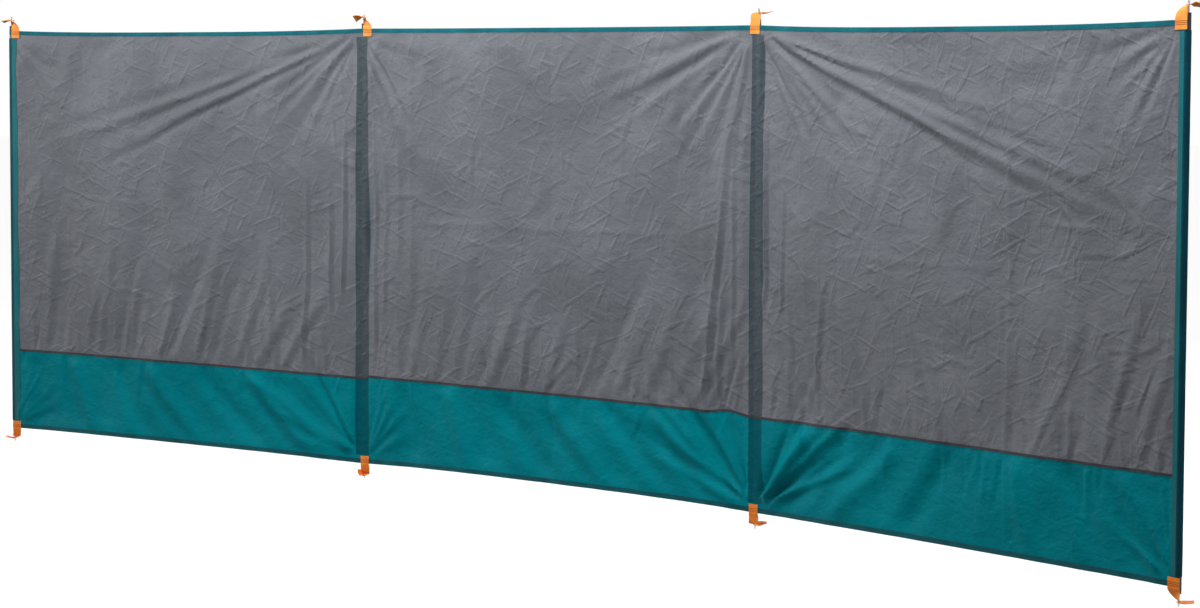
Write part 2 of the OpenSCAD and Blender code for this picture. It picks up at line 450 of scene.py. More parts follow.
def shell(name, front, back, uv, extra=None):
    # a closed sheet from two grids of points, front and back, with a rim all round
    grid, cells, forward = gridCells(front, back)
    faces, total = cells.reshape(-1, 4), grid.size
    rim = np.concatenate([grid[:, 0], grid[-1, 1:], grid[-2::-1, -1], grid[0, -2:0:-1]])
    after = np.roll(rim, -1)
    side = np.stack([after, rim, rim + total, after + total], -1)
    side = side if forward else side[:, ::-1]
    every = np.concatenate([faces, faces[:, ::-1] + total, side]).tolist()
    doubled = {label: np.concatenate([values.ravel()] * 2) for label, values in (extra or {}).items()}
    return newPiece(name, twice(front, back), every, twice(uv, uv), doubled)


def holedShell(name, front, back, uv, gone):
    # a closed sheet like shell, with the cells that touch a gone point left out and their rim closed
    grid, cells, _ = gridCells(front, back)
    total = grid.size
    cells = cells[~(gone[:-1, :-1] | gone[1:, :-1] | gone[1:, 1:] | gone[:-1, 1:])]
    edges = {}
    for cell in cells.tolist():
        for k in range(4):
            edges[(cell[k], cell[(k + 1) % 4])] = True
    side = [[b, a, a + total, b + total] for a, b in edges if (b, a) not in edges]
    every = cells.tolist() + (cells[:, ::-1] + total).tolist() + side
    used = sorted({i for quad in every for i in quad})
    index = {old: new for new, old in enumerate(used)}
    faces = [[index[i] for i in quad] for quad in every]
    return newPiece(name, twice(front, back)[used], faces, twice(uv, uv)[used])


def turnedPiece(name, centre, profile, around, up=1, ring=False, smoothAngle=35):
    # (radius, height) pairs turned round an upright axis; a ring joins its last pair to its first,
    # and any other shape is closed at both ends
    angles = np.arange(around) * 2 * math.pi / around
    points = [
        [centre[0] + r * math.cos(t), centre[1] + r * math.sin(t), centre[2] + up * h]
        for r, h in profile for t in angles
    ]
    count, faces = len(profile), []
    for k in range(count if ring else count - 1):
        low, high = k * around, (k + 1) % count * around
        for j in range(around):
            n = (j + 1) % around
            faces.append([low + j, low + n, high + n, high + j][::up])
    if not ring:
        first, last = list(range(around)), [(count - 1) * around + j for j in range(around)]
        faces += [first[::-up], last[::up]]
    return newPiece(name, points, faces, smoothAngle=smoothAngle)


# ---- finishes


def linear(red, green, blue):
    # a shader's colour from one written in the screen's 0 to 255
    parts = (c / 255 for c in (red, green, blue))
    return tuple(((c + 0.055) / 1.055) ** 2.4 if c > 0.04 else c / 12.92 for c in parts) + (1.0,)


class Finish:
    # a material in the making, with short ways to add its nodes
    def __init__(self, name, **sockets):
        self.material = bpy.data.materials.new(name)
        self.material.use_nodes = True
        self.tree = self.material.node_tree
        self.shader = self.tree.nodes["Principled BSDF"]
        for label, value in sockets.items():
            self.shader.inputs[label.replace("_", " ")].default_value = value

    def split(self, vector):
        node = self.tree.nodes.new("ShaderNodeSeparateXYZ")
        self.tree.links.new(vector, node.inputs[0])
        return node.outputs

    def place(self, kind):
        # where a point lies: in the piece's own frame, or on the flat cloth in metres
        if kind == "object":
            return self.tree.nodes.new("ShaderNodeTexCoord").outputs["Object"]
        node = self.tree.nodes.new("ShaderNodeUVMap")
        node.uv_map = "cloth"
        return node.outputs["UV"]

    def attribute(self, label):
        node = self.tree.nodes.new("ShaderNodeAttribute")
        node.attribute_name = label
        return node.outputs["Fac"]

    def math(self, operation, first, second=0):
        node = self.tree.nodes.new("ShaderNodeMath")
        node.operation = operation
        for slot, value in enumerate((first, second)):
            if isinstance(value, (int, float)):
                node.inputs[slot].default_value = value
            else:
                self.tree.links.new(value, node.inputs[slot])
        return node.outputs[0]

    def mix(self, amount, first, second):
        node = self.tree.nodes.new("ShaderNodeMix")
        node.data_type = "RGBA"
        for key, value in (("Factor_Float", amount), ("A_Color", first), ("B_Color", second)):
            socket = next(s for s in node.inputs if s.identifier == key)
            if isinstance(value, bpy.types.NodeSocket):
                self.tree.links.new(value, socket)
            else:
                socket.default_value = value
        return next(s for s in node.outputs if s.identifier == "Result_Color")

    def fit(self, value, low, high, first=0.0, last=1.0):
        node = self.tree.nodes.new("ShaderNodeMapRange")
        self.tree.links.new(value, node.inputs["Value"])
        for label, number in (("From Min", low), ("From Max", high), ("To Min", first), ("To Max", last)):
            node.inputs[label].default_value = number
        return node.outputs["Result"]

    def noise(self, where, scale, detail=3.0, distortion=0.0, stretch=(1, 1, 1), turn=0, offset=0.0):
        place = self.tree.nodes.new("ShaderNodeMapping")
        place.inputs["Scale"].default_value = stretch
        if turn:       # turned first and then stretched, which a Texture mapping does
            place.vector_type = "TEXTURE"
            place.inputs["Scale"].default_value = tuple(1 / part for part in stretch)
            place.inputs["Rotation"].default_value = (0, 0, math.radians(turn))
            place.inputs["Location"].default_value = (offset, offset * 0.7, 0)
        self.tree.links.new(where, place.inputs["Vector"])
        node = self.tree.nodes.new("ShaderNodeTexNoise")
        self.tree.links.new(place.outputs[0], node.inputs["Vector"])
        node.inputs["Scale"].default_value = scale
        node.inputs["Detail"].default_value = detail
        node.inputs["Distortion"].default_value = distortion
        return node.outputs["Fac"]

    def patches(self, where, scale, dark, light, detail=4, distortion=0.0, spread=0.2):
        # soft uneven patches of two colours
        noise = self.noise(where, scale, detail, distortion)
        return self.mix(self.fit(noise, 0.5 - spread, 0.5 + spread), dark, light)

    def bump(self, height, strength, distance, below=None):
        node = self.tree.nodes.new("ShaderNodeBump")
        node.inputs["Strength"].default_value = strength
        node.inputs["Distance"].default_value = distance
        self.tree.links.new(height, node.inputs["Height"])
        if below is not None:
            self.tree.links.new(below, node.inputs["Normal"])
        return node.outputs["Normal"]

    def surface(self, colour=None, roughness=None, normal=None):
        for label, source in (("Base Color", colour), ("Roughness", roughness), ("Normal", normal)):
            if source is not None:
                self.tree.links.new(source, self.shader.inputs[label])
        return self.material


def weave(f, where, pitch, normal, strength):
    # over-and-under threads, pitch metres apart
    turns = 2 * math.pi / pitch
    across, along = (f.math("SINE", f.math("MULTIPLY", way, turns)) for way in f.split(where)[:2])
    return f.bump(f.math("MULTIPLY", across, along), strength, pitch * 0.25, normal)


fabricSet = {
    # the third colour is painted shade where a sleeve lies behind the cloth and less light comes through the
    # doubled cloth; the threads are also darkened a little towards it
    "grey": {
        "light": linear(106, 109, 116), "dark": linear(96, 99, 105), "through": linear(53, 64, 71),
        "gloss": 0.18, "crease": 0.0009,
    },
    "teal": {
        "light": linear(0, 132, 143), "dark": linear(0, 116, 127), "through": linear(0, 87, 98),
        "gloss": 0.02, "crease": 0.0003,
    },
    "roughness": 0.46,
    # the thin creases' directions in degrees, each with an offset of its pattern
    "creaseTurns": ((4, 0.0), (38, 3.1), (72, 5.7), (112, 9.2), (151, 12.4)),
    "threadPitch": 0.0009,
    "softEdge": 0.001,
}


def clothFinish(name, tones, s=fabricSet):
    f = Finish(name, Specular_IOR_Level=tones["gloss"])
    where = f.place("cloth")
    colour = f.patches(where, 3.2, tones["dark"], tones["light"], 4, 0.6, 0.18)
    threads = f.math("ADD", *(f.noise(where, 60, 2, 0, stretch) for stretch in ((1, 14, 1), (14, 1, 1))))
    colour = f.mix(f.fit(threads, 0.75, 1.25, 0.10, 0.0), colour, tones["through"])
    # painted shade: a darker strip where a middle sleeve lies behind the cloth and less light comes through
    # it
    height, soft = f.split(where)[1], s["softEdge"]
    beside = f.fit(f.attribute("insideSleeve"), -0.8 * soft, 0.8 * soft)
    above = f.fit(height, sleeveLow - soft, sleeveLow + soft)
    below = f.fit(height, sleeveTop - soft, sleeveTop + soft, 1.0, 0.0)
    strip = f.math("MULTIPLY", beside, f.math("MULTIPLY", above, below))
    colour = f.mix(strip, colour, tones["through"])
    normal = None
    for turn, offset in s["creaseTurns"]:
        strokes = f.noise(where, 1.0, 1.0, 0.0, (46, 7, 1), turn, offset)
        normal = f.bump(f.fit(strokes, 0.60, 0.72), 1.0, tones["crease"], normal)
    normal = f.bump(f.noise(where, 24, 4, 0.3, (1, 1.4, 1)), 1.0, 0.0030, normal)
    normal = f.bump(f.noise(where, 90, 3, 0.2, (1, 1.4, 1)), 0.8, 0.0011, normal)
    normal = weave(f, where, s["threadPitch"], normal, 0.15)
    sheen = f.fit(f.noise(where, 9, 3), 0.3, 0.7, s["roughness"] - 0.06, s["roughness"] + 0.08)
    return f.surface(colour, sheen, normal)


def trimFinish(name, light, dark):
    f = Finish(name, Roughness=0.6, Specular_IOR_Level=0.10)
    where = f.place("cloth")
    colour = f.patches(where, 14, dark, light, 4, 0.5)
    normal = f.bump(f.noise(where, 90, 3, 0.4), 0.8, 0.0014)
    normal = weave(f, where, fabricSet["threadPitch"], normal, 0.2)
    return f.surface(colour, None, normal)


def sleeveFinish():
    # painted shade: darker where the cloth lies against the pole, for the black pole showing through and the
    # round part turned from the light
    f = Finish("sleeveCloth", Roughness=0.55, Specular_IOR_Level=0.10)
    where = f.place("cloth")
    clear = f.patches(where, 8, linear(14, 98, 104), linear(24, 110, 116), 4, 0.5)
    dark = f.patches(where, 8, linear(0, 55, 68), linear(0, 68, 81), 4, 0.5)
    colour = f.mix(f.fit(f.attribute("onPole"), 0.35, 0.65), clear, dark)
    normal = f.bump(f.noise(where, 55, 4, 0.8), 0.5, 0.0016)
    normal = weave(f, where, fabricSet["threadPitch"], normal, 0.2)
    return f.surface(colour, None, normal)


webbingSet = {
    # light, dark, and the painted shade between the ribs; top and bottom tabs are one webbing, and the top
    # tabs' yellower colours and the bottom tabs' redder ones are painted light and shade for how the light
    # falls on each
    "top": (linear(247, 165, 80), linear(243, 147, 62), linear(216, 114, 42)),
    "bottom": (linear(255, 150, 56), linear(255, 139, 48), linear(244, 113, 36)),
    "thread": linear(170, 82, 30),
    "ribPitch": 0.0016,
    "stitchRows": (0.0115, 0.0155, 0.0195),    # from the sewn end
}


def webbingFinish(place, s=webbingSet):
    f = Finish(f"{place}Webbing", Roughness=0.65, Specular_IOR_Level=0.15)
    light, dark, between = s[place]
    where = f.place("cloth")
    along, across = f.split(where)[:2]
    colour = f.patches(where, 30, dark, light, 4, 0.3)
    ribs = f.math("SINE", f.math("MULTIPLY", across, 2 * math.pi / s["ribPitch"]))
    picks = f.math("SINE", f.math("MULTIPLY", along, 2 * math.pi / (s["ribPitch"] * 1.5)))
    crossings = f.math("MULTIPLY", f.math("MULTIPLY", ribs, picks), 0.4)
    raised = f.math("ADD", f.math("MULTIPLY", ribs, 0.6), crossings)
    # painted shade: darker in the grooves between the ribs
    colour = f.mix(f.fit(raised, -1, 0.2, 0.35, 0.0), colour, between)
    for row in s["stitchRows"]:     # bands of the thread's colour along each stitch row
        beside = f.math("ABSOLUTE", f.math("SUBTRACT", along, row))
        colour = f.mix(f.fit(beside, 0.0006, 0.0012, 0.75, 0.0), colour, s["thread"])
    normal = f.bump(raised, 0.6, 0.0005)
    return f.surface(colour, None, normal)


def threadFinish(name, light, dark):
    f = Finish(name, Roughness=0.5)
    where = f.place("object")
    colour = f.mix(f.noise(where, 400, 2), dark, light)
    normal = f.bump(f.noise(where, 1800, 2, 0, (1, 1, 3)), 0.4, 0.0002)
    return f.surface(colour, None, normal)


def steelFinish():
    f = Finish("zincSteel", Metallic=1.0)
    where = f.place("object")
    colour = f.patches(where, 240, linear(186, 189, 194), linear(214, 216, 220), 4, 0.4)
    scratch = f.noise(where, 900, 2, 0, (1, 1, 0.08))
    rough = f.fit(scratch, 0.3, 0.7, 0.24, 0.40)
    return f.surface(colour, rough, f.bump(scratch, 0.25, 0.0002))


def poleFinish():
    # satin black coat with a fine grain, worn a little at the tube's ends
    f = Finish("blackCoat", Specular_IOR_Level=0.5)
    where = f.place("object")
    height, wornEnd = f.split(where)[2], 0.012
    grain = f.noise(where, 700, 3)
    nearFoot = f.fit(height, poleFoot, poleFoot + wornEnd, 1.0, 0.0)
    nearTop = f.fit(height, poleTop - wornEnd, poleTop, 0.0, 1.0)
    chips = f.fit(f.noise(where, 260, 4, 0.5), 0.56, 0.64)
    worn = f.math("MULTIPLY", f.math("MAXIMUM", nearFoot, nearTop), chips)
    base = f.patches(where, 40, linear(22, 22, 25), linear(34, 34, 38))
    colour = f.mix(worn, base, linear(92, 92, 96))
    return f.surface(colour, f.fit(grain, 0.3, 0.7, 0.36, 0.50), f.bump(grain, 0.25, 0.0002))


finishes = {
    "greyCloth": clothFinish("greyCloth", fabricSet["grey"]),
    "tealCloth": clothFinish("tealCloth", fabricSet["teal"]),
    "binding": trimFinish("bindingCloth", linear(0, 101, 112), linear(0, 84, 94)),
    "hem": trimFinish("hemCloth", linear(0, 89, 97), linear(0, 72, 80)),
    "tape": trimFinish("seamTape", linear(72, 70, 76), linear(52, 50, 56)),
    "sleeve": sleeveFinish(),
    # one webbing in two copies, with painted light and shade between them
    "topWebbing": webbingFinish("top"),
    "bottomWebbing": webbingFinish("bottom"),
    "darkThread": threadFinish("darkThread", linear(48, 46, 54), linear(30, 29, 36)),
    "tealThread": threadFinish("tealThread", linear(0, 74, 84), linear(0, 54, 64)),
    "brownThread": threadFinish("brownThread", linear(176, 88, 30), linear(140, 64, 20)),
    "steel": steelFinish(),
    "pole": poleFinish(),
}
print("finishes made:", len(finishes))


def finishPiece(piece, finish, slot, *nodes):
    piece.data.materials.clear()
    piece.data.materials.append(finishes[finish])
    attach(piece, "root")
    if nodes:
        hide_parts(*nodes)
    return piece


# ---- cloth panels
sleeveSet = {
    "halfWidth": (0.0235, 0.0285),  # at the top and from mid-height down
    "endReach": (0.034, 0, 0, 0.0175),
    "poleShadeReach": (0.010, 0, 0, 0.004),     # painted shade from the pole darkens an end sleeve up to here
    "offset": (0.0, 0.002, 0.009, 0.0),  # how far right of each pole the middle sleeves lie
    "lapProud": 0.0012,
    "looseFront": 0.0014,    # an end sleeve's extra radius in front of its pole
    "gap": 0.0006,           # between the pole and the sleeve
    "skin": 0.0005,
    "step": 0.007,
    "strip": {"start": 0.0095, "wide": 0.016, "proud": -0.0010},   # a middle sleeve's part beside its pole
    "backProud": -0.0011,    # an end sleeve's back leaf
    "flat": {"middle": 0.070, "end": 0.078},
}
panelSet = {
    "step": (0.0075, 0.0034),  # a mesh cell's width, in mid-bay and beside a pole
    "rise": 0.0078,            # and its height
    "beside": 0.13,
    "halfThick": 0.00025,
}


def spans(low, high, step):
    return np.linspace(low, high, max(int(round((high - low) / step)), 2) + 1)


def columnsOf(start, end, step, beside):
    # columns across a bay, closer together beside its poles
    wide, close = step
    left, right = spans(start, start + beside, close), spans(end - beside, end, close)
    return np.concatenate([left[:-1], spans(start + beside, end - beside, wide), right[1:]])


def bayEnds(bayIndex, tuck):
    w = bays[bayIndex]["width"]
    return (tuck if bayIndex == 0 else 0.0), (w - tuck if bayIndex == 2 else w)


def sleeveHalf(z):
    # half the width of a middle pole's sleeve
    narrow, wide = sleeveSet["halfWidth"]
    return narrow + (wide - narrow) * (1 - ease(z, 0.75, 1.25))


def distanceToMiddlePole(bayIndex, u):
    # from the middle of the sleeve behind it, which lies a little to the right of the third pole
    w, off = bays[bayIndex]["width"], sleeveSet["offset"]
    left, right = np.abs(u - off[bayIndex]), w - u + off[min(bayIndex + 1, 2)]
    return (right, np.minimum(left, right), left)[bayIndex]


def makePanel(name, bayIndex, low, high, s=panelSet):
    columns = columnsOf(0.0, bays[bayIndex]["width"], s["step"], s["beside"])
    u, z = np.meshgrid(columns, spans(low, high, s["rise"]), indexing="ij")
    front, back = clothPoints(bayIndex, u, z, s["halfThick"], -s["halfThick"])
    # how far inside the sleeve behind it a point lies; the finish paints shade there
    inside = sleeveHalf(z) - distanceToMiddlePole(bayIndex, u)
    return shell(name, front, back, np.stack([u, z], -1), {"insideSleeve": inside})


def makeTrim(name, bayIndex, profile, step=0.0055, tuck=0.0):
    # profile: (proud, height) pairs of the outer surface, and the inner surface lies skin behind it
    start, end = bayEnds(bayIndex, tuck)
    along = spans(start, end, step)
    outer, inner, uv = [], [], []
    run = 0.0
    for k, (proud, z, proudIn, zIn) in enumerate(profile):
        if k:
            run += math.hypot(proud - profile[k - 1][0], z - profile[k - 1][1])
        outer.append(clothPoints(bayIndex, along, np.full_like(along, z), proud))
        inner.append(clothPoints(bayIndex, along, np.full_like(along, zIn), proudIn))
        uv.append(np.stack([along, np.full_like(along, run)], -1))
    return shell(name, np.stack(outer, 1), np.stack(inner, 1), np.stack(uv, 1))


def foldOver(edge, inwards, reach, proud=0.0011, skin=0.0004):
    # a strip folded over the cloth's edge: front leaf, turn, back leaf; inwards is -1 below a top edge
    rows = []
    for part in (1.0, 0.66, 0.33):
        height = edge + inwards * reach * part
        rows.append((proud, height, proud - skin, height))
    for a in (math.radians(degrees) for degrees in range(0, 181, 30)):
        rows.append((proud * math.cos(a), edge + inwards * proud * (1 - math.sin(a)),
                     (proud - skin) * math.cos(a), edge + inwards * (proud - (proud - skin) * math.sin(a))))
    return rows + [(-out, height, -inner, height) for out, height, inner, _ in rows[2::-1]]


tapeEnd = (sleeveSet["endReach"][0], 0.0, sleeveSet["endReach"][3])    # it stops at the end sleeves' laps
tapeHeights = (tapeLow - 0.0005, tapeLow + 0.001, seamHeight, tapeTop - 0.001, tapeTop + 0.0005)
for bayIndex, bay in enumerate(bays):
    name, width = bay["name"], bay["width"]
    upper = makePanel(f"{name}UpperPanel", bayIndex, seamHeight + 0.0005, fabricTop - 0.0015)
    lower = makePanel(f"{name}LowerBand", bayIndex, fabricLow + 0.0015, seamHeight - 0.0005)
    binding = makeTrim(f"{name}TopBinding", bayIndex, foldOver(fabricTop, -1, fabricTop - bindingLow))
    hem = makeTrim(f"{name}BottomHem", bayIndex, foldOver(fabricLow, 1, hemTop - fabricLow))
    tapeRows = [(0.0012, height, -0.0007, height) for height in tapeHeights]
    tape = makeTrim(f"{name}SeamTape", bayIndex, tapeRows, tuck=tapeEnd[bayIndex])
    finishPiece(upper, "greyCloth", "grey_fabric", f"{name}_upper_panel")
    finishPiece(lower, "tealCloth", "teal_fabric", f"{name}_lower_band")
    finishPiece(binding, "binding", "binding", f"{name}_top_binding")
    finishPiece(hem, "hem", "hem", f"{name}_bottom_hem")
    finishPiece(tape, "tape", "seam_tape", f"{name}_seam_tape")
    print("cloth made:", name)

# ---- sleeves


def smoothAcross(points, passes):
    for _ in range(passes):
        inner = (points[:, :-2] + 2 * points[:, 1:-1] + points[:, 2:]) / 4
        points = np.concatenate([points[:, :1], inner, points[:, -1:]], 1)
    return points


def roundPole(number, angles, radius, z):
    # points round a pole; 0 degrees is the cloth's inner side and 90 is the back
    bay = bays[min(number, 2)]
    if number in (1, 2):
        back = -bay["leftFront"]
        side = np.array([back[1], -back[0]])
    else:
        back = -bay["front"]
        side = -bay["run"] if number == 3 else bay["run"]
    level = [centre + radius * (np.cos(angles) * side[k] + np.sin(angles) * back[k])
             for k, centre in enumerate(poles[number])]
    return np.stack([*level, z], -1)


def sleeveShell(name, outer, inner, marks, onPole, z):
    uv = np.stack(np.broadcast_arrays(np.array(marks)[None, :], z[:, None]), -1)
    # onPole carries the painted shade: 1 where the sleeve wraps the pole, 0 beside it
    dark = np.broadcast_to(np.array(onPole, float)[None, :], outer.shape[:2])
    return shell(name, outer, inner, uv, {"onPole": dark})


def makeMiddleSleeve(name, number, s=sleeveSet):
    # from the right edge, behind the pole, to the left edge; each column has its place on the flat strip
    z = spans(sleeveLow, sleeveTop, s["step"])
    wide, right = bays[number - 1]["width"], s["offset"][number]
    start, lap, proud = s["strip"]["start"], s["strip"]["wide"], s["strip"]["proud"]
    beside = (1.0, 0.85, 0.65, 0.45, 0.22, 0.0)
    columns = []
    for part in beside:
        x = start + (sleeveHalf(z) + right - start) * part
        columns.append((clothPoints(number, x, z, proud), start + lap * part, 0))
    # the part round the pole carries the painted shade
    for degrees in range(-8, 189, 14):
        a = np.full_like(z, math.radians(degrees))
        slack = 0.0004 * waves(z * 26 + number * 9, a * 2.0, 17) + 0.0003 * waves(z * 70, a * 3, 19) + 0.0003
        points = roundPole(number, a, poleRadius + s["gap"] + slack + s["skin"], z)
        columns.append((points, 0.0085 - (degrees + 8) * 0.00009, 1))
    for part in beside[::-1]:
        x = start + (sleeveHalf(z) - right - start) * part
        columns.append((clothPoints(number - 1, wide - x, z, proud), -start - lap * part, 0))
    points, marks, onPole = zip(*columns)
    outer = smoothAcross(np.stack(points, 1), 2)
    # the skin lies towards the pole behind it, and towards the front beside it
    inward = np.array([*poles[number], 0.0]) - outer
    inward[..., 2] = 0
    inward /= np.linalg.norm(inward, axis=2, keepdims=True)
    frontward = np.array([*bays[number]["leftFront"], 0.0])
    blendIn = np.array(onPole, float)[None, :, None]
    inner = outer + s["skin"] * (inward * blendIn + frontward * (1 - blendIn))
    return sleeveShell(name, outer, inner, marks, onPole, z)


def makeEndSleeve(name, number, s=sleeveSet):
    # front leaf, round the pole's outer side, back leaf; each column has its place on the flat cloth
    z = spans(sleeveLow, sleeveTop, s["step"])
    radius = poleRadius + s["gap"] + s["skin"]
    flutter = 0.0003 * waves(z * 18 + number * 3, z * 0 + 2, 29)
    inwards = np.linspace(0.0, s["endReach"][number], 9)
    columns = []
    for x in inwards[::-1]:
        points = nearPole(number, np.full_like(z, x), z, s["lapProud"] + flutter * 0.5)
        columns.append((points, x, 1 if x < s["poleShadeReach"][number] else 0))
    for degrees in range(-98, -271, -12):
        a = np.full_like(z, math.radians(degrees))
        loose = s["looseFront"] * (1 - ease(-degrees, 95, 150))
        slack = 0.0002 + 0.0002 * waves(z * 24 + number, a * 2, 47)
        columns.append((roundPole(number, a, radius + loose + slack, z), (degrees + 82) * 0.00013, 1))
    # the back leaf beside the pole gets half the painted shade
    for x, behind in ((0.010, 0.0035), (0.014, 0.0012)):
        columns.append((nearPole(number, np.full_like(z, x), z, s["backProud"] - behind), -0.022 - x, 0.5))
    for x in inwards[inwards > 0.0155]:
        columns.append((nearPole(number, np.full_like(z, x), z, s["backProud"]), -0.022 - x, 0))
    points, marks, onPole = zip(*columns)
    outer = smoothAcross(np.stack(points, 1), 1)
    normal = np.cross(np.gradient(outer, axis=1), np.array([0, 0, 1.0]))
    normal /= np.linalg.norm(normal, axis=2, keepdims=True)
    # it points at the pole
    roundAt = 12
    if np.dot(normal[0, roundAt, :2], outer[0, roundAt, :2] - np.array(poles[number])) > 0:
        normal = -normal
    return sleeveShell(name, outer, outer + normal * s["skin"], marks, onPole, z)


sleeveNodes = ("left_end_sleeve", "left_middle_sleeve", "right_middle_sleeve", "right_end_sleeve")
for number, node in enumerate(sleeveNodes):
    pieceName = "".join(w.capitalize() if k else w for k, w in enumerate(node.split("_")))
    middleOne = number in (1, 2)
    sleeve = (makeMiddleSleeve if middleOne else makeEndSleeve)(pieceName, number)
    finishPiece(sleeve, "sleeve", "sleeve_fabric", node)
print("sleeves made")

# ---- poles and pins
for number in range(poleCount):
    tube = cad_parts[f"pole_{number + 1}"]
    tube.data.materials.clear()
    tube.data.materials.append(finishes["pole"])

pinSet = {"radius": 0.0025, "plug": 0.0055, "plugDepth": 0.020, "round": 0.0012}


def makePin(name, number, end, tip, s=pinSet):
    up = 1 if tip > end else -1
    long = abs(tip - end)
    r, plug, bevel = s["radius"], s["plug"], s["round"]
    profile = [(plug, -s["plugDepth"]), (plug, -0.0004), (plug - 0.0004, 0.0)]
    profile += [(r + 0.0006, 0.0), (r, 0.0006)]
    profile += [(r, long * k / 4) for k in (1, 2, 3)]
    for a in np.linspace(0, math.pi / 2 - 0.05, 6):
        profile.append((r - bevel + bevel * math.cos(a), long - bevel + bevel * math.sin(a)))
    return turnedPiece(name, (*poles[number], end), profile, 40, up)


for number in range(poleCount):
    top = makePin(f"topPin{number + 1}", number, poleTop, pinTip)
    spike = makePin(f"groundSpike{number + 1}", number, poleFoot, spikeTip)
    finishPiece(top, "steel", "pin", f"top_pin_{number + 1}")
    finishPiece(spike, "steel", "pin", f"ground_spike_{number + 1}")
print("pins made")

# ---- webbing tabs
tabSet = {
    "halfThick": 0.0007,
    "sewn": 0.023,
    "rise": 0.034,
    "hole": 0.0034,
    "proud": 0.0020,          # over the binding or hem
    "step": 0.0014,
    "bend": 0.012,            # past the cloth's edge, the strap comes away from the cloth within this height
}
# start beside the pole, width, length past the pin; heading of the free end (0 back, 90 outward, 180 front);
# how far the strap runs straight on from the cloth and into the pin; where along it the turn begins;
# then the free end's slope and its twist, each at the pin and at the tip, in degrees
tabShapes = {
    ("top", 0): (0.0120, 0.0355, 0.030, 124, 0.60, 0.08, 0.05, -4, -24, 0, 8),
    ("top", 1): (0.0085, 0.0355, 0.029, 130, 0.24, 0.08, 0.00, 2, -30, 2, 34),
    ("top", 2): (-0.0160, 0.0360, 0.036, 42, 0.90, 0.22, 0.45, -14, 30, 10, -4),
    ("top", 3): (-0.0060, 0.0370, 0.038, 42, 0.60, 0.14, 0.05, 6, -36, 22, 6),
    ("bottom", 0): (0.0040, 0.0350, 0.030, 124, 0.72, 0.12, 0.45, 2, -26, 0, -4),
    ("bottom", 1): (-0.0050, 0.0350, 0.017, 128, 0.80, 0.12, 0.60, -24, -110, 24, 40),
    ("bottom", 2): (-0.0225, 0.0350, 0.032, 44, 0.90, 0.20, 0.50, -20, 0, 20, 0),
    ("bottom", 3): (-0.0120, 0.0375, 0.036, 46, 0.22, 0.10, 0.15, 4, -10, 4, 0),
}


def bezier(a, b, c, d, t):
    t = np.asarray(t)[:, None]
    return a * (1 - t) ** 3 + 3 * b * t * (1 - t) ** 2 + 3 * c * t ** 2 * (1 - t) + d * t ** 3


def tabFrame(number, place):
    # the pole's own axes: inner side, front, and away from the cloth
    bayIndex = min(number, 2)
    run, front = bays[bayIndex]["run"], bays[bayIndex]["front"]
    if number in (1, 2):
        front = bays[number]["leftFront"]
        run = np.array([-front[1], front[0]])
    side = run if number < 2 else -run
    away = 1.0 if place == "top" else -1.0
    edge = fabricTop if place == "top" else fabricLow
    base = np.array([*poles[number], edge])
    axes = np.array([[side[0], side[1], 0], [front[0], front[1], 0], [0, 0, away]])
    return base, axes


